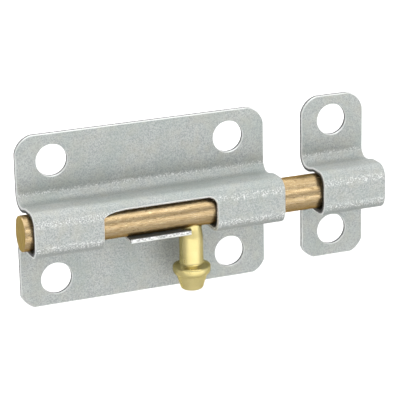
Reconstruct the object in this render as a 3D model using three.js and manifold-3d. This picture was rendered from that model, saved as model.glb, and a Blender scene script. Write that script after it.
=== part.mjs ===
// A sliding barrel bolt: a stamped case, a round bolt rod, a turned knob and a stamped keeper.
//
// Millimetres. +X runs along the bolt towards the keeper, +Z is up, and the door is on the +Y side:
// the backs of both plates lie in the plane y = 0. The origin is on that plane, in the middle of the
// case's four screw holes.
import * as THREE from "three";
import { mergeVertices } from "three/addons/utils/BufferGeometryUtils.js";
import Module from "manifold-3d";

const wasm = await Module();
wasm.setup();

// ---- Driving dimensions ----------------------------------------------------------------------
const SHEET = 1.1; // thickness of both stampings
// A corner's arc starts this far from the sharp corner (cut), and turns through twice halfArc degrees.
// Under 45, it meets its edges at a slight angle.
const TOP_CORNER = { cut: 4.0, halfArc: 33 };
const BOTTOM_CORNER = { cut: 3.0, halfArc: 24 };
const SCREW_HOLE_R = 3.75;

// The barrel's section, the same in the case and the keeper. "Out" is measured from the plate's front.
const BARREL_Z = 0.4; // middle of the barrel's height
const BARREL_HALF_H = 5.45;
const BARREL_OUT = 12.5;
const BARREL_EDGE_R = 3.2;
const NECK_HALF_H = 4.75; // where the barrel is pinched in beside the plate
const NECK_OUT = 3.1;
const BELLY_OUT = 6.8; // where it has its full height again
const ROOT_R = 2.3; // hollow bend between the plate and the neck

const ROD = { r: 4.15, out: 7.0, z: 0.3, left: -32.5, right: 54.5, chamfer: 0.5 };

const CASE = { left: -30.5, right: 30.9, bottom: -20.6, top: 20.7 };
const CASE_HOLES = { x: 21.8, z: 14.3 };

const KEEPER = { left: 40.95, right: 57.1, bottom: -19.2, top: 21.2 };
const KEEPER_HOLES = { x: 48.9, z: 13.9, midZ: 1.2 };

// The window's left corner is long and low, and its right corner is round.
const WINDOW = { left: -14.0, right: 13.8, top: 4.3, cornerLeft: 6.0, cornerLeftDrop: 2.0, cornerRight: 2.2 };
const NOTCH_FLOOR = 0.7; // the notches are cut back to this far in front of the plate
const LIP = { left: -6.95, right: 8.0, out: 10.3 };
const HOOK_GAP = 0.15; // between the knob's shank and the hollow behind the lip's tip

const KNOB_X = 9.05;
const KNOB = {
  shankR: 2.78,
  shoulderR: 2.2, // the shank is eased to this beside the rod
  shoulderStart: 5.6,
  shoulderEnd: 6.9,
  collarStart: 13.3,
  collarR: 4.47,
  collarEdge: 0.75,
  collarEnd: 15.9,
  taperR: 3.75,
  taperStart: 16.0,
  tipR: 2.75,
  tipRound: 0.75,
  taperAngle: 15, // degrees
  length: 19.5,
};
const KNOB_CLEAR_R = 6.3; // the knob's solid starts outside this radius about the rod's axis

const ARC_STEPS = 8;
const ROUND_STEPS = 40;
const DEEP = 60; // longer than anything it cuts

// ---- Helpers ---------------------------------------------------------------------------------
function toSolid(geometry) {
  const bare = geometry.clone();
  bare.deleteAttribute("normal");
  bare.deleteAttribute("uv");
  const merged = mergeVertices(bare.index ? bare.toNonIndexed() : bare, 1e-4);
  const vertProperties = Float32Array.from(merged.attributes.position.array);
  const triVerts = Uint32Array.from(merged.index.array);
  return new wasm.Manifold(new wasm.Mesh({ numProp: 3, vertProperties, triVerts }));
}

function toGeometry(solid) {
  const mesh = solid.getMesh();
  const geometry = new THREE.BufferGeometry();
  geometry.setAttribute("position", new THREE.BufferAttribute(Float32Array.from(mesh.vertProperties), 3));
  geometry.setIndex(Array.from(mesh.triVerts));
  geometry.computeVertexNormals();
  return geometry;
}

function box(x0, x1, y0, y1, z0, z1) {
  const geometry = new THREE.BoxGeometry(x1 - x0, y1 - y0, z1 - z0);
  geometry.translate((x0 + x1) / 2, (y0 + y1) / 2, (z0 + z1) / 2);
  return toSolid(geometry);
}

// A distance in front of the plates' front face, as a y coordinate.
const outToY = (out) => -SHEET - out;

// Extrudes a shape drawn in (x, z) so that it spans y0 to y1.
function prismAlongY(shape, y0, y1) {
  const geometry = new THREE.ExtrudeGeometry(shape, {
    depth: y1 - y0,
    bevelEnabled: false,
    curveSegments: ROUND_STEPS / 4,
  });
  geometry.rotateX(Math.PI / 2); // shape y becomes z, and the extrusion runs along -y
  geometry.translate(0, y1, 0);
  return toSolid(geometry);
}

// A cylinder about the rod's axis, which is the knob's hinge too.
function cylinderOnRodAxis(radius, x0, x1) {
  const geometry = new THREE.CylinderGeometry(radius, radius, x1 - x0, ROUND_STEPS);
  geometry.rotateZ(Math.PI / 2);
  geometry.translate((x0 + x1) / 2, outToY(ROD.out), ROD.z);
  return toSolid(geometry);
}

// ---- Plates ----------------------------------------------------------------------------------
// A rectangle whose corners are arcs that meet the edges at a slight angle, as a blanking die cuts.
function plateShape({ left, right, bottom, top }) {
  const shape = new THREE.Shape();
  const corners = [
    { x: right, z: top, angle: 45, corner: TOP_CORNER },
    { x: left, z: top, angle: 135, corner: TOP_CORNER },
    { x: left, z: bottom, angle: 225, corner: BOTTOM_CORNER },
    { x: right, z: bottom, angle: 315, corner: BOTTOM_CORNER },
  ];
  for (const { x, z, angle, corner } of corners) {
    const middle = THREE.MathUtils.degToRad(angle);
    const spread = THREE.MathUtils.degToRad(corner.halfArc);
    const cut = corner.cut * Math.SQRT1_2; // from the sharp corner to the middle of the cut, and half its length
    const radius = cut / Math.sin(spread);
    const toCentre = cut + radius * Math.cos(spread);
    const cx = x - Math.cos(middle) * toCentre;
    const cz = z - Math.sin(middle) * toCentre;
    shape.absarc(cx, cz, radius, middle - spread, middle + spread, false);
  }
  shape.closePath();
  return shape;
}

// One half of the sheet's middle line, from the plate's edge to the barrel's front: (out, height).
function halfMiddleLine(reach) {
  const half = SHEET / 2;
  const points = [new THREE.Vector2(-half, reach)];
  const rootR = ROOT_R + half;
  const neck = NECK_HALF_H - half;
  for (let i = 0; i <= ARC_STEPS; i++) {
    const turn = Math.PI + (i / ARC_STEPS) * (Math.PI / 2);
    points.push(new THREE.Vector2(ROOT_R + rootR * Math.cos(turn), neck + rootR * (1 + Math.sin(turn))));
  }
  for (let i = 1; i <= ARC_STEPS; i++) {
    const along = i / ARC_STEPS;
    const rise = (1 - Math.cos(Math.PI * along)) / 2;
    const out = THREE.MathUtils.lerp(NECK_OUT, BELLY_OUT, along);
    points.push(new THREE.Vector2(out, neck + (BARREL_HALF_H - NECK_HALF_H) * rise));
  }
  const edgeR = BARREL_EDGE_R - half;
  for (let i = 0; i <= ARC_STEPS; i++) {
    const turn = Math.PI / 2 - (i / ARC_STEPS) * (Math.PI / 2);
    const cx = BARREL_OUT - BARREL_EDGE_R;
    const cz = BARREL_HALF_H - BARREL_EDGE_R;
    points.push(new THREE.Vector2(cx + edgeR * Math.cos(turn), cz + edgeR * Math.sin(turn)));
  }
  return points;
}

// The closed section of the bent sheet, in (out, z).
function sheetSection(reach) {
  const upper = halfMiddleLine(reach);
  const lower = upper.map((p) => new THREE.Vector2(p.x, -p.y)).reverse();
  const line = [...upper, ...lower];
  const side = (sign) =>
    line.map((p, i) => {
      const before = line[Math.max(i - 1, 0)];
      const after = line[Math.min(i + 1, line.length - 1)];
      const into = p.clone().sub(before).normalize();
      const away = after.clone().sub(p).normalize();
      const tangent = into.add(away).normalize();
      const shift = new THREE.Vector2(-tangent.y, tangent.x).multiplyScalar((sign * SHEET) / 2);
      return p.clone().add(shift);
    });
  return [...side(1), ...side(-1).reverse()];
}

// Bends the sheet over the full width of a plate, and trims it to the plate's outline and holes.
function stamping(plate, holes) {
  const reach = DEEP / 2;
  const shape = new THREE.Shape(sheetSection(reach));
  const geometry = new THREE.ExtrudeGeometry(shape, { depth: plate.right - plate.left, bevelEnabled: false });
  // Section x (out) goes to -y, section y goes to z, and the extrusion runs along x.
  const toFrame = new THREE.Matrix4().makeBasis(
    new THREE.Vector3(0, -1, 0),
    new THREE.Vector3(0, 0, 1),
    new THREE.Vector3(-1, 0, 0),
  );
  geometry.applyMatrix4(toFrame);
  geometry.translate(plate.right, -SHEET, BARREL_Z);
  let solid = toSolid(geometry).intersect(prismAlongY(plateShape(plate), -DEEP, DEEP));
  for (const { x, z } of holes) {
    const hole = new THREE.Shape();
    hole.absarc(x, z, SCREW_HOLE_R, 0, Math.PI * 2, false);
    solid = solid.subtract(prismAlongY(hole, outToY(ROOT_R), DEEP));
  }
  return solid;
}

// ---- Case ------------------------------------------------------------------------------------
function windowShape() {
  const { left, right, top, cornerLeft, cornerLeftDrop, cornerRight } = WINDOW;
  const bottom = -DEEP / 4;
  const shape = new THREE.Shape();
  shape.moveTo(left, bottom);
  shape.lineTo(right, bottom);
  shape.lineTo(right, top - cornerRight);
  shape.absarc(right - cornerRight, top - cornerRight, cornerRight, 0, Math.PI / 2, false);
  shape.lineTo(left + cornerLeft, top);
  shape.quadraticCurveTo(left + cornerLeftDrop, top, left, top - cornerLeftDrop);
  shape.closePath();
  return shape;
}

function makeCase() {
  const holes = [];
  for (const sx of [-1, 1]) {
    for (const sz of [-1, 1]) {
      holes.push({ x: sx * CASE_HOLES.x, z: sz * CASE_HOLES.z });
    }
  }
  let solid = stamping(CASE, holes);
  const floorY = outToY(NOTCH_FLOOR);
  // The window opens the barrel's front down to the lip's front edge.
  solid = solid.subtract(prismAlongY(windowShape(), -DEEP, outToY(LIP.out)));
  // The two notches go on down to the plate.
  solid = solid.subtract(box(WINDOW.left, LIP.left, -DEEP, floorY, -DEEP, 0));
  solid = solid.subtract(box(LIP.right, WINDOW.right, -DEEP, floorY, -DEEP, 0));
  // Behind the lip's right tip the notch is hollowed round the knob's shank.
  const pocketR = KNOB.shankR + HOOK_GAP;
  const pocket = new THREE.CylinderGeometry(pocketR, pocketR, DEEP, ROUND_STEPS);
  pocket.rotateX(Math.PI / 2);
  pocket.translate(KNOB_X, outToY(ROD.out), -DEEP / 2);
  solid = solid.subtract(toSolid(pocket));
  solid = solid.subtract(box(KNOB_X - pocketR, WINDOW.right, outToY(ROD.out), floorY, -DEEP, 0));
  return solid;
}

// ---- Rod and knob ----------------------------------------------------------------------------
function makeRod() {
  const { r, left, right, chamfer } = ROD;
  const outline = [
    new THREE.Vector2(0, left),
    new THREE.Vector2(r - chamfer / 2, left),
    new THREE.Vector2(r, left + chamfer / 2),
    new THREE.Vector2(r, right - chamfer),
    new THREE.Vector2(r - chamfer, right),
    new THREE.Vector2(0, right),
  ];
  const geometry = new THREE.LatheGeometry(outline, ROUND_STEPS);
  geometry.rotateZ(-Math.PI / 2); // the lathe's y becomes x
  geometry.translate(0, outToY(ROD.out), ROD.z);
  return toSolid(geometry);
}

function arcPoints(cx, cy, radius, from, to, steps = ARC_STEPS) {
  return Array.from({ length: steps + 1 }, (_, i) => {
    const turn = THREE.MathUtils.degToRad(THREE.MathUtils.lerp(from, to, i / steps));
    return new THREE.Vector2(cx + radius * Math.cos(turn), cy + radius * Math.sin(turn));
  });
}

// The knob's outline, as (radius, distance from the rod's axis).
function knobOutline() {
  const k = KNOB;
  const rim = k.collarR - k.collarEdge;
  const rimStart = k.collarStart + k.collarEdge;
  const rimEnd = k.collarEnd - k.collarEdge;
  return [
    new THREE.Vector2(0, 0),
    new THREE.Vector2(k.shoulderR, 0),
    new THREE.Vector2(k.shoulderR, k.shoulderStart),
    new THREE.Vector2(k.shankR, k.shoulderEnd),
    new THREE.Vector2(k.shankR, k.collarStart),
    ...arcPoints(rim, rimStart, k.collarEdge, -90, 0),
    ...arcPoints(rim, rimEnd, k.collarEdge, 0, 90 - k.taperAngle),
    new THREE.Vector2(k.taperR, k.taperStart),
    ...arcPoints(k.tipR - k.tipRound, k.length - k.tipRound, k.tipRound, k.taperAngle, 90),
    new THREE.Vector2(0, k.length),
  ];
}

function makeKnob() {
  const geometry = new THREE.LatheGeometry(knobOutline(), ROUND_STEPS);
  geometry.rotateX(-Math.PI / 2); // the lathe's y becomes -z
  geometry.translate(KNOB_X, outToY(ROD.out), ROD.z);
  const sweep = cylinderOnRodAxis(KNOB_CLEAR_R, KNOB_X - DEEP / 4, KNOB_X + DEEP / 4);
  return toSolid(geometry).subtract(sweep);
}

// ---- Keeper ----------------------------------------------------------------------------------
function makeKeeper() {
  const holes = [-1, 1].map((s) => ({ x: KEEPER_HOLES.x, z: KEEPER_HOLES.midZ + s * KEEPER_HOLES.z }));
  return stamping(KEEPER, holes);
}

// ---- Assembly --------------------------------------------------------------------------------
const zinc = { color: 0xaeb3b1, roughness: 0.45, metalness: 0.9 };
const drawnBrass = { color: 0xb08a4e, roughness: 0.35, metalness: 1.0 };
const turnedBrass = { color: 0xd9c67c, roughness: 0.22, metalness: 1.0 };

const group = new THREE.Group();

function addPiece(name, solid, finish) {
  const mesh = new THREE.Mesh(toGeometry(solid), new THREE.MeshStandardMaterial(finish));
  mesh.name = name;
  group.add(mesh);
}

addPiece("case", makeCase(), zinc);
addPiece("bolt_rod", makeRod(), drawnBrass);
addPiece("knob", makeKnob(), turnedBrass);
addPiece("keeper", makeKeeper(), zinc);

export default group;
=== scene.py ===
"""A sliding barrel bolt and its keeper.

Two zinc-plated stampings, a drawn brass rod and a turned brass knob. The shapes are worked out in
millimetres in the frame's own axes (+X along the bolt to the keeper, +Z up, the door on the +Y side)
and scaled to metres where a mesh is made.
"""
import math

import bmesh
import bpy
import numpy as np
from mathutils import Matrix, Vector
from mathutils.geometry import delaunay_2d_cdt


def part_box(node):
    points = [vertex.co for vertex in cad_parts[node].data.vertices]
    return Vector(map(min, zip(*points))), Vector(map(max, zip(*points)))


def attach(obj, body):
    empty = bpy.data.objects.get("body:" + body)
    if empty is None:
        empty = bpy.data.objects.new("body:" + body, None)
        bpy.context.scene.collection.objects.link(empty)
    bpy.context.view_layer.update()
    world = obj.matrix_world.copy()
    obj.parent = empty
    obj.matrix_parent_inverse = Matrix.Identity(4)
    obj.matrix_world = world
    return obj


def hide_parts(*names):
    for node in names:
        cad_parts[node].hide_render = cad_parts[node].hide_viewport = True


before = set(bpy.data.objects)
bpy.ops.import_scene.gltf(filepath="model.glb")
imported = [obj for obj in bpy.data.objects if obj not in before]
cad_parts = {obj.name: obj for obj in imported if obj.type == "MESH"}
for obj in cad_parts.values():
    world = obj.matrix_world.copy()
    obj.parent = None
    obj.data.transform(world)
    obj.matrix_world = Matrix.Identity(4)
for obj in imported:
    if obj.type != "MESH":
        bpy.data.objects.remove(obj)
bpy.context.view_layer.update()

MM = 0.001

# ---- Camera: angles in degrees -----------------------------------------------------------------
VIEW_AZIMUTH = 22.160  # how far round to the right of straight ahead the camera looks
VIEW_DROP = 17.968  # how far down it looks
VIEW_ROLL = -1.170
VIEW_DISTANCE = 462.62
VIEW_SIDEWAYS = 13.27  # from the middle of the screw holes to the middle of the picture
VIEW_UPWARD = 1.62
SENSOR = 36.0
LENS = 178.35
VIEW_REACH = 20.0  # metres

# ---- The sheet's bends -------------------------------------------------------------------------
SHEET = 1.1
BARREL_EDGE_R = 3.2
BARREL_HALF_H = 5.45
BARREL_Z = 0.4
NECK_HALF_H = 4.75
NECK_OUT = 3.1
BELLY_OUT = 6.8
ROOT_R = 2.3
FLANGE_REACH = 26.0  # how far up the flat flange the middle line is followed
LINE_STEP = 0.02

# ---- The blanks --------------------------------------------------------------------------------
CORNER_CUT = {"top": 4.0, "bottom": 3.0}
# Degrees. Less than 45, so a corner's arc meets the sides at a slight angle.
CORNER_HALF_ARC = {"top": 33, "bottom": 24}
SCREW_HOLE_R = 3.75
CASE_HOLES = (21.8, 14.3)  # half their spacing along and up the plate
KEEPER_HOLES = (7.95, 13.9, 1.2)  # from the left edge, half their spacing, and their middle's height
# Window, lip and notch heights are lengths along the blank from the barrel's middle.
WINDOW = {
    "left": -14.0, "right": 13.8, "top": 3.7,
    "corner_left": (6.6, 1.5), "corner_power": 1.15, "corner_right": 2.3,
}
LIP = {"left": -6.95, "right": 8.0, "edge": -5.38, "tip_r": 0.26, "end_r": 0.3}
NOTCH = {"floor": -15.2, "corner_r": 0.9}
HOOK_GAP = 0.15  # between the knob and the hollow in the lip's tip

SHEARED_ROLL = 0.30  # radius where the punch drew the front edge in
SHEARED_BACK = 0.07  # radius of the back edge
SHEARED_STEP = 0.03  # from one kind of surface to the next on a cut
PLATE_TEAR = 0.60  # height of the torn part at the back of a cut, painted near black as shade
WINDOW_TEAR = 0.16
# Values of the "edge" attribute, from the flat face round a cut to the back.
EDGE_ROLLED = 0.3
EDGE_BARE = 0.6
# the torn back of a cut, where painted shade lies
EDGE_TORN_SHADE = 1.0
SUPPORT = 0.12  # a ring of points this far inside a rounded edge keeps the flat shading flat
LOOP_STEP = 0.36
GRID_X = 0.8
GRID_FLAT = 1.0
GRID_BEND = 0.4
BEND_END = 19.0  # beyond this length from the barrel's middle the blank is flat
GRID_CLEAR = 0.45  # from the grid to the nearest edge
BEND_STEPS = 200
HOLE_SIDES = 96
CORNER_STEPS = 14
SAME_POINT = 1e-3
MERGED = 1e-5

# ---- Rod and knob ------------------------------------------------------------------------------
SIDES = 128  # of a round section
CENTRE_R = 0.02  # radius of the ring round an end face's centre

# The rod's left end: the rings of its face as shares of the radius, its broken edge as shares and
# depths, and the depths of the first rings behind it.
ROD_FACE = (0.02, 0.25, 0.5, 0.75, 0.93)
ROD_BROKEN_EDGE = ((0.975, 0.03), (1.0, 0.13))
ROD_FIRST_RINGS = (0.4, 0.8, 1.4, 2.2, 3.0)
ROD_RING_START = 4.0
ROD_RINGS = 60
ROD_CHAMFER = 0.5  # at the right end
ROD_CUT = 0.1  # what lies no deeper than this from an end belongs to the cut
# The shears left the rod's left end leaning, with a step across it. Both fade out along the rod.
END_REACH = 3.0
END_LEAN = 0.035
END_LEAN_START = 6.0
END_STEP_HEIGHT = 0.10
END_STEP_WIDTH = 0.12
END_STEP_SLOPE = 0.7
END_STEP_PLACE = 0.6

# Radii, and distances from the rod's axis.
KNOB = {
    "neck_r": 2.55, "neck_start": 4.3, "neck_straight": 0.7, "neck_end": 6.6, "shank_r": 2.8,
    "fillet_start": 12.65, "fillet_r": 3.15,
    "ledge": 13.2, "ledge_r": 3.95, "ledge_drop": 0.32,
    "collar_r": 4.47, "collar_round": 0.5, "collar_end": 14.6,
    "taper": 15.75, "taper_r": 3.72, "taper_blend": (0.03, 0.1),
    "tip_r": 2.7, "tip_flare": 0.1, "tip_round": 0.95, "tip_face": 1.95,
}
KNOB_SUNK = 0.08  # how deep the neck's root is sunk into the rod
KNOB_SADDLE = 2.0  # the root's saddle shape fades out over this distance

# ---- Finish ------------------------------------------------------------------------------------
# Lengths from the barrel's middle at which the folded zinc has broken into grains, painted with bright
# flecks as glints where the bend highlights fall, and the half widths of those bands.
ROOT_SPARKLE = (17.4, 1.0)
CORNER_SPARKLE = (2.9, 1.2)
UNDERSIDE = 6.4  # length from the barrel's middle at which its underside is level, and its painted shade darkest

# Base colours: dark, middle and light grains, then what is mixed over them.
ZINC = ((0.245, 0.267, 0.259), (0.362, 0.381, 0.371), (0.482, 0.497, 0.486))
ZINC_WARM = (0.40, 0.395, 0.345)
ZINC_COOL = (0.285, 0.335, 0.318)
# painted shade for the barrel's underside, which faces down
ZINC_UNDER_SHADE = (0.17, 0.18, 0.165)
# painted glints on the grains along the folds
ZINC_FLECK_GLINT = (0.68, 0.69, 0.68)
ZINC_ROLLED = (0.62, 0.63, 0.62)
STEEL_CUT = ((0.34, 0.35, 0.345), (0.52, 0.53, 0.52), (0.82, 0.83, 0.82))
# painted shade at the torn back of a cut, for the dark gap behind the plate
STEEL_TORN_SHADE = (0.05, 0.052, 0.05)
DRAWN = ((0.31, 0.215, 0.105), (0.375, 0.28, 0.155), (0.45, 0.355, 0.225))
DRAWN_BROWN = (0.29, 0.19, 0.08)
DRAWN_PIT = (0.12, 0.075, 0.03)
DRAWN_GLINT = (0.72, 0.61, 0.38)
DRAWN_END = ((0.26, 0.18, 0.045), (0.38, 0.275, 0.08))
TURNED = ((0.525, 0.455, 0.215), (0.49, 0.415, 0.175))
TURNED_RING = (0.40, 0.31, 0.12)


def to_object(name, vertices, faces, attributes=()):
    """A closed, smoothly shaded mesh object from points in millimetres."""
    mesh = bpy.data.meshes.new(name)
    mesh.from_pydata((np.asarray(vertices) * MM).tolist(), [], faces)
    for label, values in attributes:
        attribute = mesh.attributes.new(label, "FLOAT", "POINT")
        attribute.data.foreach_set("value", np.asarray(values, np.float32))
    builder = bmesh.new()
    builder.from_mesh(mesh)
    bmesh.ops.recalc_face_normals(builder, faces=builder.faces)
    builder.to_mesh(mesh)
    builder.free()
    mesh.shade_smooth()
    piece = bpy.data.objects.new(name, mesh)
    bpy.context.scene.collection.objects.link(piece)
    return piece


def arc(centre, radius, start, end, steps):
    """Points on an arc, angles in degrees."""
    turns = np.radians(np.linspace(start, end, steps + 1))
    return [(centre[0] + radius * math.cos(t), centre[1] + radius * math.sin(t)) for t in turns]


# ---- Bending a flat blank ----------------------------------------------------------------------
def middle_line():
    """Half the sheet's middle line as (out, height), from the barrel's front to the flange."""
    half = SHEET / 2
    barrel_out = -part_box("case")[0].y / MM - SHEET
    edge_r = BARREL_EDGE_R - half
    root_r = ROOT_R + half
    neck = NECK_HALF_H - half
    belly = BARREL_HALF_H - half
    points = [(barrel_out - half, 0.0)]
    bend = (barrel_out - BARREL_EDGE_R, BARREL_HALF_H - BARREL_EDGE_R)
    points += arc(bend, edge_r, 0, 90, BEND_STEPS)
    for along in np.linspace(0, 1, BEND_STEPS):
        rise = (1 + math.cos(math.pi * along)) / 2
        points.append((BELLY_OUT + (NECK_OUT - BELLY_OUT) * along, neck + (belly - neck) * rise))
    points += arc((ROOT_R, neck + root_r), root_r, 270, 180, BEND_STEPS)
    points.append((-half, neck + root_r + FLANGE_REACH))
    points = np.array(points)
    length = np.r_[0, np.cumsum(np.hypot(*np.diff(points, axis=0).T))]
    even = np.arange(0, length[-1], LINE_STEP)
    return even, np.interp(even, length, points[:, 0]), np.interp(even, length, points[:, 1])


LENGTH, OUT, HEIGHT = middle_line()
SLOPE_OUT = np.gradient(OUT, LENGTH)
SLOPE_HEIGHT = np.gradient(HEIGHT, LENGTH)


def length_at_height(z):
    """How far along the flange, measured from the barrel's middle, the height z lies."""
    return math.copysign(LENGTH[-1] - (HEIGHT[-1] - abs(z - BARREL_Z)), z - BARREL_Z)


def bent(flat, lift):
    """Points (x, length) of the blank, lifted off the sheet's middle, in the frame."""
    x, s = np.asarray(flat, float).T
    side = np.where(s < 0, -1.0, 1.0)
    along = np.abs(s)
    slope_out = np.interp(along, LENGTH, SLOPE_OUT)
    slope_height = np.interp(along, LENGTH, SLOPE_HEIGHT)
    size = np.hypot(slope_out, slope_height)
    out = np.interp(along, LENGTH, OUT) + lift * slope_height / size
    height = np.interp(along, LENGTH, HEIGHT) - lift * slope_out / size
    return np.c_[x, -SHEET - out, BARREL_Z + side * height]


# ---- The blank's outline -----------------------------------------------------------------------
def evenly(points, step=LOOP_STEP):
    """The closed outline with extra points, so that no side is longer than step."""
    result = []
    for a, b in zip(points, points[1:] + points[:1]):
        a, b = np.array(a), np.array(b)
        count = max(1, math.ceil(np.linalg.norm(b - a) / step))
        result += [tuple(a + (b - a) * i / count) for i in range(count)]
    kept = [p for p, q in zip(result, result[1:] + result[:1]) if math.dist(p, q) > SAME_POINT]
    return np.array(kept)


def plate_outline(low, high):
    """The outer edge, whose corners are arcs that meet the sides at a slight angle."""
    left, right = low.x / MM, high.x / MM
    bottom, top = length_at_height(low.z / MM), length_at_height(high.z / MM)
    points = []
    corners = ((right, top, 45), (left, top, 135), (left, bottom, 225), (right, bottom, 315))
    for x, s, middle in corners:
        level = "top" if s > 0 else "bottom"
        spread = CORNER_HALF_ARC[level]
        cut = CORNER_CUT[level] * math.sqrt(0.5)
        radius = cut / math.sin(math.radians(spread))
        inward = cut + radius * math.cos(math.radians(spread))
        turn = math.radians(middle)
        centre = (x - inward * math.cos(turn), s - inward * math.sin(turn))
        points += arc(centre, radius, middle - spread, middle + spread, CORNER_STEPS)
    return evenly(points)


def hole_outline(x, z):
    s = length_at_height(z)
    return np.array(arc((x, s), SCREW_HOLE_R, 0, 360, HOLE_SIDES)[:-1])


def window_outline(knob_x, knob_out):
    """The window and the two notches below it, in one cut round the lip."""
    w, floor, r = WINDOW, NOTCH["floor"], NOTCH["corner_r"]
    wide, deep = w["corner_left"]
    hollow_r = KNOB["shank_r"] + HOOK_GAP
    hollow_s = -float(np.interp(-knob_out, -OUT, LENGTH))
    lip_half = LIP["tip_r"]
    points = []
    # The upper left corner is a long curve, drawn as a quarter of a stretched ellipse.
    for turn in np.linspace(math.pi, math.pi / 2, 16):
        x = w["left"] + wide * (1 + math.cos(turn))
        points.append((x, w["top"] - deep * (1 - math.sin(turn) ** w["corner_power"])))
    right_r = w["corner_right"]
    points += arc((w["right"] - right_r, w["top"] - right_r), right_r, 90, 0, 12)
    points += arc((w["right"] - r, floor + r), r, 0, -90, 8)
    left_wall = knob_x - hollow_r
    points += arc((left_wall + r, floor + r), r, 270, 180, 8)
    tip_angle = math.degrees(math.acos((LIP["right"] - lip_half - knob_x) / (hollow_r + lip_half)))
    points += arc((knob_x, hollow_s), hollow_r, 180, tip_angle, 20)
    points += arc((LIP["right"] - lip_half, LIP["edge"] - lip_half), lip_half, tip_angle - 180, 90, 10)
    points += arc((LIP["left"] + LIP["end_r"], LIP["edge"] - LIP["end_r"]), LIP["end_r"], 90, 180, 6)
    points += arc((LIP["left"] - r, floor + r), r, 0, -90, 8)
    points += arc((w["left"] + r, floor + r), r, 270, 180, 8)
    return evenly(points)


def inset(loop, distance):
    """The loop moved into the metal. A loop runs anticlockwise round metal, clockwise round a hole."""
    before = loop - np.roll(loop, 1, axis=0)
    after = np.roll(loop, -1, axis=0) - loop
    before /= np.linalg.norm(before, axis=1)[:, None]
    after /= np.linalg.norm(after, axis=1)[:, None]
    inward = np.c_[-(before + after)[:, 1], (before + after)[:, 0]]
    half = np.linalg.norm(inward, axis=1) / 2
    inward /= np.linalg.norm(inward, axis=1)[:, None]
    return loop + inward * (distance / np.clip(half, 0.5, 1))[:, None]


def turned(loop, anticlockwise):
    """The loop, run the other way where it needs to be."""
    x, y = loop.T
    area = np.sum(x * np.roll(y, -1) - np.roll(x, -1) * y)
    return loop if (area > 0) == anticlockwise else loop[::-1]


def inside(points, loops):
    """Whether each point is in the metal: inside an odd number of the loops."""
    crossed = np.zeros(len(points), bool)
    px, py = points.T
    for loop in loops:
        for (ax, ay), (bx, by) in zip(loop, np.roll(loop, -1, axis=0)):
            if ay == by:
                continue
            spans = (ay > py) != (by > py)
            crossed ^= spans & (px < ax + (py - ay) * (bx - ax) / (by - ay))
    return crossed


def filling(loops):
    """Grid points inside the metal, closer together where the sheet bends."""
    low, high = loops[0].min(0), loops[0].max(0)
    xs = np.linspace(low[0], high[0], round((high[0] - low[0]) / GRID_X))
    bend = np.arange(-BEND_END, BEND_END, GRID_BEND)
    below = np.arange(-BEND_END - GRID_FLAT, low[1], -GRID_FLAT)
    above = np.arange(BEND_END, high[1], GRID_FLAT)
    grid = np.array([(x, s) for s in np.r_[below, bend, above] for x in xs])
    grid = grid[inside(grid, loops)]
    edge = np.concatenate(loops)
    near = np.array([np.min(np.hypot(*(edge - p).T)) for p in grid])
    return grid[near > GRID_CLEAR]


def sheared_profile(half, tear):
    """A sheared edge from front to back: how far in from the outline, how high, and its "edge" value."""
    rows = []
    for turn, mark in zip(np.radians((22.5, 45, 67.5, 90)), (0.5, 1, 1, 1)):
        inward = SHEARED_ROLL * (1 - math.sin(turn))
        rows.append((inward, half - SHEARED_ROLL * (1 - math.cos(turn)), mark * EDGE_ROLLED))
    rows.append((0.0, half - SHEARED_ROLL - SHEARED_STEP, EDGE_BARE))
    rows.append((0.0, tear - half + SHEARED_STEP, EDGE_BARE))
    rows.append((0.0, tear - half, EDGE_TORN_SHADE))
    for turn in np.radians((0, 45, 90)):
        inward = SHEARED_BACK * (1 - math.cos(turn))
        rows.append((inward, -half + SHEARED_BACK * (1 - math.sin(turn)), EDGE_TORN_SHADE))
    return rows


def flat_face(loops):
    """The blank's flat face: its points, its triangles, and which points go round each loop."""
    borders = [inset(loop, SHEARED_ROLL) for loop in loops]
    support = [inset(loop, SHEARED_ROLL + SUPPORT) for loop in loops]
    sets = borders + support + [filling(loops)]
    starts = np.cumsum([0] + [len(points) for points in sets])
    edges = []
    for start, points in zip(starts, borders + support):
        count = len(points)
        edges += [(start + i, start + (i + 1) % count) for i in range(count)]
    found = delaunay_2d_cdt([Vector(p) for p in np.concatenate(sets)], edges, [], 0, MERGED)
    points = np.array([tuple(p) for p in found[0]])
    triangles = np.array(found[2])
    triangles = triangles[inside(points[triangles].mean(axis=1), borders)]
    place = {old: new for new, olds in enumerate(found[3]) for old in olds}
    rings = [[place[start + i] for i in range(len(loop))] for start, loop in zip(starts, loops)]
    return points, triangles, rings


def stamping(name, loops, tears):
    """The blank cut out by its loops, bent, and given its thickness and sheared edges."""
    loops = [turned(loop, index == 0) for index, loop in enumerate(loops)]
    half = SHEET / 2
    flat, triangles, rings = flat_face(loops)
    vertices = [bent(flat, half), bent(flat, -half)]
    edge_mark = [np.zeros(2 * len(flat))]
    lengths = [flat[:, 1], flat[:, 1]]
    faces = triangles.tolist() + (triangles[:, ::-1] + len(flat)).tolist()
    total = 2 * len(flat)
    for loop, tear, ring in zip(loops, tears, rings):
        count = len(loop)
        rows = [ring]
        for distance, lift, mark in sheared_profile(half, tear):
            moved = inset(loop, distance)
            vertices.append(bent(moved, lift))
            edge_mark.append(np.full(count, mark))
            lengths.append(moved[:, 1])
            rows.append(list(range(total, total + count)))
            total += count
        rows.append([len(flat) + v for v in ring])
        for a, b in zip(rows, rows[1:]):
            faces += [(a[i], a[(i + 1) % count], b[(i + 1) % count], b[i]) for i in range(count)]
    attributes = [("edge", np.concatenate(edge_mark)), ("blank", np.concatenate(lengths))]
    return to_object(name, np.concatenate(vertices), faces, attributes)


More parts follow.
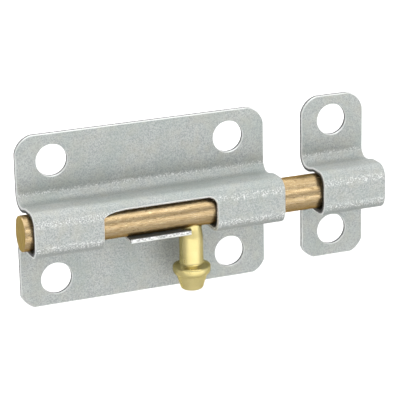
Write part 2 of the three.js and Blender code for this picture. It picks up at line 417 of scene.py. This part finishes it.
def make_case():
    low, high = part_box("case")
    rod_low, rod_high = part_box("bolt_rod")
    knob_low, knob_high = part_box("knob")
    knob_x = (knob_low.x + knob_high.x) / 2 / MM
    knob_out = -(rod_low.y + rod_high.y) / 2 / MM - SHEET
    x, z = CASE_HOLES
    holes = [hole_outline(sx * x, sz * z) for sx in (-1, 1) for sz in (-1, 1)]
    loops = [plate_outline(low, high), *holes, window_outline(knob_x, knob_out)]
    return stamping("case_stamping", loops, [PLATE_TEAR] * 5 + [WINDOW_TEAR])


def make_keeper():
    low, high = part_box("keeper")
    from_left, spacing, middle = KEEPER_HOLES
    x = low.x / MM + from_left
    holes = [hole_outline(x, middle + side * spacing) for side in (-1, 1)]
    return stamping("keeper_stamping", [plate_outline(low, high), *holes], [PLATE_TEAR] * 3)


# ---- Rod ---------------------------------------------------------------------------------------
def ring_faces(rows):
    """The faces of a closed tube through the rows of points, and of its two ends."""
    faces = []
    for row in range(rows - 1):
        for i in range(SIDES):
            j = (i + 1) % SIDES
            a, b = row * SIDES, (row + 1) * SIDES
            faces.append((a + i, a + j, b + j, b + i))
    faces.append(tuple(range(SIDES)))
    faces.append(tuple(range((rows - 1) * SIDES, rows * SIDES)))
    return faces


def sheared_end(y, z):
    """How far the rod's left end face lies back from its furthest point, for points of its section."""
    lean = END_LEAN * (y + z + END_LEAN_START)
    across = END_STEP_SLOPE * y - z - END_STEP_PLACE
    step = END_STEP_HEIGHT / (1 + np.exp(-across / END_STEP_WIDTH))
    return np.maximum(lean + step, 0.0)


def rod_outline(radius, length):
    """(radius, distance from the left end) from the middle of one end face to that of the other."""
    outline = [(share * radius, 0) for share in ROD_FACE]
    outline += [(share * radius, depth) for share, depth in ROD_BROKEN_EDGE]
    outline += [(radius, depth) for depth in ROD_FIRST_RINGS]
    last = length - ROD_CHAMFER
    outline += [(radius, depth) for depth in np.linspace(ROD_RING_START, last, ROD_RINGS)]
    return outline + [(radius - ROD_CHAMFER, length), (radius / 2, length), (CENTRE_R, length)]


def make_rod():
    low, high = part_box("bolt_rod")
    left, right = low.x / MM, high.x / MM
    radius = (high.z - low.z) / 2 / MM
    axis_y, axis_z = (low.y + high.y) / 2 / MM, (low.z + high.z) / 2 / MM
    turns = np.linspace(0, 2 * math.pi, SIDES, endpoint=False)
    rows, cut = [], []
    for r, depth in rod_outline(radius, right - left):
        y, z = r * np.cos(turns), r * np.sin(turns)
        back = sheared_end(y, z) * max(0.0, 1 - depth / END_REACH)
        rows.append(np.c_[left + depth + back, axis_y + y, axis_z + z])
        at_an_end = depth < ROD_CUT or depth > right - left - ROD_CUT
        cut.append(np.full(SIDES, 1.0 if at_an_end else 0.0))
    attributes = [("cut", np.concatenate(cut))]
    return to_object("bolt_rod_drawn", np.concatenate(rows), ring_faces(len(rows)), attributes)


# ---- Knob --------------------------------------------------------------------------------------
def quarter(start, end, steps, flat_first):
    """Points (radius, distance) on a quarter of an ellipse from start to end, without the first."""
    points = []
    for turn in np.linspace(0, math.pi / 2, steps + 1)[1:]:
        slow, fast = 1 - math.cos(turn), math.sin(turn)
        radial, axial = (fast, slow) if flat_first else (slow, fast)
        points.append((start[0] + (end[0] - start[0]) * radial, start[1] + (end[1] - start[1]) * axial))
    return points


def straight(start, end, steps):
    """Points evenly along the line from start to end, without the first."""
    run, rise = end[0] - start[0], end[1] - start[1]
    return [(start[0] + run * i / steps, start[1] + rise * i / steps) for i in range(1, steps + 1)]


def knob_outline(length):
    """(radius, distance from the rod's axis) from the neck to the tip."""
    k = KNOB
    ledge_edge = (k["ledge_r"], k["ledge"] + k["ledge_drop"])
    rim = (k["collar_r"], ledge_edge[1] + k["collar_round"])
    tip_start = (k["tip_r"] + k["tip_flare"], length - k["tip_round"])
    points = [(k["neck_r"], k["neck_start"])]
    points += straight(points[-1], (k["neck_r"], k["neck_start"] + k["neck_straight"]), 3)
    points += straight(points[-1], (k["shank_r"], k["neck_end"]), 5)
    points += straight(points[-1], (k["shank_r"], k["fillet_start"]), 12)
    points += quarter(points[-1], (k["fillet_r"], k["ledge"]), 6, False)
    points += straight(points[-1], ledge_edge, 4)
    points += quarter(points[-1], rim, 8, True)
    points += straight(points[-1], (k["collar_r"], k["collar_end"]), 3)
    points += quarter(points[-1], (k["taper_r"], k["taper"]), 8, False)
    points.append((k["taper_r"] - k["taper_blend"][0], k["taper"] + k["taper_blend"][1]))
    points += straight(points[-1], tip_start, 7)
    points += quarter(points[-1], (k["tip_face"], length), 8, False)
    return points + straight(points[-1], (CENTRE_R, length), 3)


def make_knob():
    low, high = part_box("knob")
    rod_low, rod_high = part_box("bolt_rod")
    rod_r = (rod_high.z - rod_low.z) / 2 / MM
    axis_z = (rod_low.z + rod_high.z) / 2 / MM
    x0 = (low.x + high.x) / 2 / MM
    y0 = (rod_low.y + rod_high.y) / 2 / MM
    turns = np.linspace(0, 2 * math.pi, SIDES, endpoint=False)
    rows = []
    for r, distance in knob_outline(axis_z - low.z / MM):
        x, y = r * np.cos(turns), r * np.sin(turns)
        beyond = distance - KNOB["neck_start"]
        saddle = np.sqrt(np.maximum((rod_r - KNOB_SUNK) ** 2 - y ** 2, 0)) + beyond
        weight = np.clip(beyond / KNOB_SADDLE, 0, 1)
        depth = saddle * (1 - weight) + distance * weight
        rows.append(np.c_[x0 + x, y0 + y, axis_z - depth])
    return to_object("knob_turned", np.concatenate(rows), ring_faces(len(rows)))


# ---- Materials ---------------------------------------------------------------------------------
class Nodes:
    """A short way to write a material's node tree."""

    def __init__(self, name):
        self.material = bpy.data.materials.new(name)
        self.material.use_nodes = True
        self.tree = self.material.node_tree
        self.shader = self.tree.nodes["Principled BSDF"]
        self.place = self.add("ShaderNodeTexCoord").outputs["Object"]

    def add(self, kind, **settings):
        node = self.tree.nodes.new(kind)
        for key, value in settings.items():
            setattr(node, key, value)
        return node

    def link(self, source, socket):
        self.tree.links.new(source, socket)

    def stretched(self, scale):
        """The place on the piece, scaled along each axis: a small scale draws noise out along it."""
        node = self.add("ShaderNodeMapping")
        node.inputs["Scale"].default_value = scale
        self.link(self.place, node.inputs["Vector"])
        return node.outputs["Vector"]

    def noise(self, size, detail=2.0, roughness=0.5, vector=None):
        """Noise whose features are about size millimetres across."""
        node = self.add("ShaderNodeTexNoise")
        node.inputs["Scale"].default_value = 1.0 / (size * MM)
        node.inputs["Detail"].default_value = detail
        node.inputs["Roughness"].default_value = roughness
        self.link(vector or self.place, node.inputs["Vector"])
        return node.outputs["Fac"]

    def ramp(self, value, *stops):
        """A colour ramp. A stop is (position, colour), and a grey colour may be one number."""
        node = self.add("ShaderNodeValToRGB")
        elements = node.color_ramp.elements
        while len(elements) < len(stops):
            elements.new(0.5)
        for element, (position, colour) in zip(elements, stops):
            element.position = position
            grey = isinstance(colour, (int, float))
            element.color = (colour, colour, colour, 1) if grey else (*colour, 1)
        self.link(value, node.inputs["Fac"])
        return node.outputs["Color"]

    def mix(self, share, a, b):
        """Colour a, with a share of colour b over it. A colour is a socket or (red, green, blue)."""
        node = self.add("ShaderNodeMix", data_type="RGBA")
        sockets = {s.identifier: s for s in node.inputs}
        for key, value in (("Factor_Float", share), ("A_Color", a), ("B_Color", b)):
            if isinstance(value, bpy.types.NodeSocket):
                self.link(value, sockets[key])
            else:
                sockets[key].default_value = (*value, 1)
        return {s.identifier: s for s in node.outputs}["Result_Color"]

    def math(self, operation, a, b):
        node = self.add("ShaderNodeMath", operation=operation)
        for socket, value in zip(node.inputs, (a, b)):
            if isinstance(value, bpy.types.NodeSocket):
                self.link(value, socket)
            else:
                socket.default_value = value
        return node.outputs["Value"]

    def bump(self, height, depth, previous=None):
        """Bump from a height of 0 to 1, depth millimetres deep."""
        node = self.add("ShaderNodeBump")
        node.inputs["Distance"].default_value = depth * MM
        self.link(height, node.inputs["Height"])
        if previous:
            self.link(previous, node.inputs["Normal"])
        return node.outputs["Normal"]


def near(n, value, middle, half_width):
    """1 where value is at middle, falling to 0 half_width away."""
    away = n.math("ABSOLUTE", n.math("SUBTRACT", value, middle), 0.0)
    return n.math("SUBTRACT", 1.0, n.math("MINIMUM", n.math("DIVIDE", away, half_width), 1.0))


def underside(n, blank):
    """How much painted shade darkens the zinc: most where the barrel's underside is level, and none on
    the plate.
    """
    turn = n.math("DIVIDE", blank, -2 * UNDERSIDE)
    return n.ramp(
        turn,
        (0.18, 0.0), (0.25, 0.22), (0.40, 0.35), (0.47, 0.8), (0.55, 0.6), (0.80, 0.0),
    )


def fold_grains_and_glints(n, blank):
    """1 in the broken grains of zinc along the folds, painted bright as glints where the bend highlights
    fall.
    """
    length = n.math("ABSOLUTE", blank, 0.0)
    folds = n.math("MAXIMUM", near(n, length, *ROOT_SPARKLE), near(n, length, *CORNER_SPARKLE))
    grains = n.ramp(n.noise(0.32, detail=2.0, roughness=0.7), (0.52, 0.0), (0.62, 1.0))
    return n.math("MULTIPLY", grains, n.ramp(folds, (0.15, 0.0), (0.7, 1.0)))


def zinc_plate():
    n = Nodes("zinc_plate")
    blank = n.add("ShaderNodeAttribute", attribute_name="blank").outputs["Fac"]
    edge = n.add("ShaderNodeAttribute", attribute_name="edge").outputs["Fac"]

    fine = n.noise(0.30, detail=3.0, roughness=0.75)
    patch = n.noise(2.4, detail=3.0)
    cloud = n.noise(9.0, detail=2.0)
    colour = n.ramp(fine, (0.32, ZINC[0]), (0.5, ZINC[1]), (0.68, ZINC[2]))
    colour = n.mix(n.ramp(patch, (0.44, 0.0), (0.66, 0.40)), colour, ZINC_WARM)
    colour = n.mix(n.ramp(cloud, (0.45, 0.0), (0.65, 0.35)), colour, ZINC_COOL)
    # painted shade: the barrel's underside darkened
    colour = n.mix(underside(n, blank), colour, ZINC_UNDER_SHADE)
    # painted highlight: bright flecks along the folds
    colour = n.mix(fold_grains_and_glints(n, blank), colour, ZINC_FLECK_GLINT)

    # The cut edge, from the flat face to the back: rolled over, cut bright, and torn, with painted shade
    # laid near black over the torn back.
    rolled = n.ramp(edge, (0.1, 0.0), (0.28, 1.0), (0.34, 1.0), (0.5, 0.0))
    colour = n.mix(rolled, colour, ZINC_ROLLED)
    chips = n.noise(0.45, detail=2.0, roughness=0.7)
    bare = n.ramp(chips, (0.40, STEEL_CUT[0]), (0.50, STEEL_CUT[1]), (0.60, STEEL_CUT[2]))
    colour = n.mix(n.ramp(edge, (0.4, 0.0), (0.58, 1.0)), colour, bare)
    # painted shade: the torn back of the cut near black
    colour = n.mix(n.ramp(edge, (0.65, 0.0), (0.95, 1.0)), colour, STEEL_TORN_SHADE)
    n.link(colour, n.shader.inputs["Base Color"])

    rough = n.ramp(fine, (0.3, 0.62), (0.7, 0.50))
    n.link(n.mix(rolled, rough, (0.32, 0.32, 0.32)), n.shader.inputs["Roughness"])
    n.link(n.ramp(edge, (0.65, 0.5), (0.95, 0.0)), n.shader.inputs["Metallic"])
    n.shader.inputs["Specular IOR Level"].default_value = 0.25
    grain = n.bump(n.noise(0.38, detail=2.0), 0.06)
    waves = n.bump(n.noise(5.0, detail=1.0), 0.10, grain)
    n.link(waves, n.shader.inputs["Normal"])
    return n.material


def drawn_brass():
    n = Nodes("drawn_brass")
    along = n.stretched((0.05, 1.0, 1.0))
    streak = n.noise(0.17, detail=3.0, roughness=0.65, vector=along)
    broad = n.noise(1.6, detail=2.0, vector=along)
    speck = n.noise(0.3, detail=2.0, vector=n.stretched((0.3, 1.0, 1.0)))
    colour = n.ramp(streak, (0.34, DRAWN[0]), (0.5, DRAWN[1]), (0.66, DRAWN[2]))
    colour = n.mix(n.ramp(broad, (0.35, 0.20), (0.6, 0.0)), colour, DRAWN_BROWN)
    colour = n.mix(n.ramp(speck, (0.31, 0.55), (0.38, 0.0)), colour, DRAWN_PIT)
    colour = n.mix(n.ramp(speck, (0.60, 0.0), (0.70, 0.35)), colour, DRAWN_GLINT)
    cut = n.add("ShaderNodeAttribute", attribute_name="cut").outputs["Fac"]
    tear = n.noise(0.6, detail=3.0, vector=n.stretched((1.0, 1.0, 0.25)))
    colour = n.mix(cut, colour, n.ramp(tear, (0.3, DRAWN_END[0]), (0.7, DRAWN_END[1])))
    n.link(colour, n.shader.inputs["Base Color"])
    polish = n.ramp(streak, (0.3, 0.36), (0.7, 0.22))
    n.link(n.mix(cut, polish, (0.8, 0.8, 0.8)), n.shader.inputs["Roughness"])
    n.link(n.ramp(cut, (0.0, 1.0), (1.0, 0.2)), n.shader.inputs["Metallic"])
    n.shader.inputs["Specular Tint"].default_value = (0.62, 0.42, 0.20, 1.0)
    lines = n.bump(streak, 0.012)
    n.link(n.bump(speck, 0.018, lines), n.shader.inputs["Normal"])
    return n.material


def turned_brass():
    n = Nodes("turned_brass")
    rings = n.noise(1.0, detail=1.0, vector=n.stretched((0.02, 0.02, 1.0)))
    soft = n.noise(4.0, detail=1.0)
    colour = n.ramp(soft, (0.3, TURNED[0]), (0.7, TURNED[1]))
    colour = n.mix(n.ramp(rings, (0.35, 0.0), (0.70, 0.10)), colour, TURNED_RING)
    n.link(colour, n.shader.inputs["Base Color"])
    n.link(n.ramp(soft, (0.3, 0.24), (0.7, 0.28)), n.shader.inputs["Roughness"])
    n.shader.inputs["Metallic"].default_value = 0.8
    n.shader.inputs["Specular Tint"].default_value = (0.85, 0.75, 0.38, 1.0)
    return n.material


# ---- Stage: lengths in metres ------------------------------------------------------------------
FLOOR_DROP = 0.16
FLOOR_SIZE = 6.0
FLOOR_GREY = (0.51, 0.525)
SKY = 0.88


def make_floor():
    """A plain pale floor, well below the hanging plates."""
    builder = bmesh.new()
    bmesh.ops.create_grid(builder, x_segments=2, y_segments=2, size=FLOOR_SIZE / 2)
    mesh = bpy.data.meshes.new("floor")
    builder.to_mesh(mesh)
    builder.free()
    floor = bpy.data.objects.new("floor", mesh)
    floor.location.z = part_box("case")[0].z - FLOOR_DROP
    bpy.context.scene.collection.objects.link(floor)
    n = Nodes("floor")
    grey = n.ramp(n.noise(20.0), (0.3, FLOOR_GREY[0]), (0.7, FLOOR_GREY[1]))
    n.link(grey, n.shader.inputs["Base Color"])
    n.shader.inputs["Roughness"].default_value = 0.9
    mesh.materials.append(n.material)


def area_light(name, place, target, size, radiance, spread=180):
    """A rectangular soft light. At the full spread of 180 degrees its face has this radiance."""
    data = bpy.data.lights.new(name, "AREA")
    data.shape = "RECTANGLE"
    data.size, data.size_y = size
    data.energy = radiance * math.pi * size[0] * size[1]
    data.spread = math.radians(spread)
    lamp = bpy.data.objects.new(name, data)
    lamp.location = place
    lamp.rotation_euler = (Vector(target) - Vector(place)).to_track_quat("-Z", "Y").to_euler()
    bpy.context.scene.collection.objects.link(lamp)


def light_studio():
    world = bpy.data.worlds.new("studio")
    world.use_nodes = True
    sky = world.node_tree.nodes["Background"]
    sky.inputs["Color"].default_value = (1.0, 1.0, 1.0, 1)
    sky.inputs["Strength"].default_value = SKY
    bpy.context.scene.world = world
    above, behind, before = (-0.05, 0.05), (0.1, 0.75), (-0.25, -0.69)
    area_light("overhead", (*above, 0.8), (*above, 0), size=(1.1, 1.1), radiance=1.4)
    area_light("key", (0.25, -0.78, 0.48), (0, 0, 0), size=(0.8, 0.36), radiance=2.3)
    # The last two light the floor, which the camera sees behind and the metal reflects in front.
    area_light("floor_behind", (*behind, 0.6), (*behind, 0), (1.2, 0.9), radiance=1.9, spread=90)
    area_light("floor_before", (*before, 0.9), (*before, 0), (2.4, 0.85), radiance=3.8, spread=36)


def make_camera():
    a, e = math.radians(VIEW_AZIMUTH), math.radians(VIEW_DROP)
    forward = Vector((math.sin(a) * math.cos(e), math.cos(a) * math.cos(e), -math.sin(e)))
    roll = Matrix.Rotation(math.radians(-VIEW_ROLL), 3, forward)
    right = roll @ Vector((math.cos(a), -math.sin(a), 0))
    up = right.cross(forward)
    middle = Vector((0, -SHEET, 0)) + right * VIEW_SIDEWAYS + up * VIEW_UPWARD
    place = (middle - forward * VIEW_DISTANCE) * MM
    data = bpy.data.cameras.new("camera")
    data.lens = LENS
    data.sensor_width = SENSOR
    data.clip_end = VIEW_REACH
    camera = bpy.data.objects.new("camera", data)
    axes = Matrix((right, up, -forward)).transposed().to_4x4()
    camera.matrix_world = Matrix.Translation(place) @ axes
    bpy.context.scene.collection.objects.link(camera)
    bpy.context.scene.camera = camera


def finish_piece(piece, node, body, material):
    """The piece takes the place of its CAD node and moves with its body."""
    piece.data.materials.append(material)
    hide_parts(node)
    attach(piece, body)


make_camera()
zinc = zinc_plate()
finish_piece(make_case(), "case", "case", zinc)
finish_piece(make_keeper(), "keeper", "keeper", zinc)
finish_piece(make_rod(), "bolt_rod", "bolt", drawn_brass())
finish_piece(make_knob(), "knob", "knob", turned_brass())
make_floor()
light_studio()
bpy.context.scene.view_settings.view_transform = "Standard"
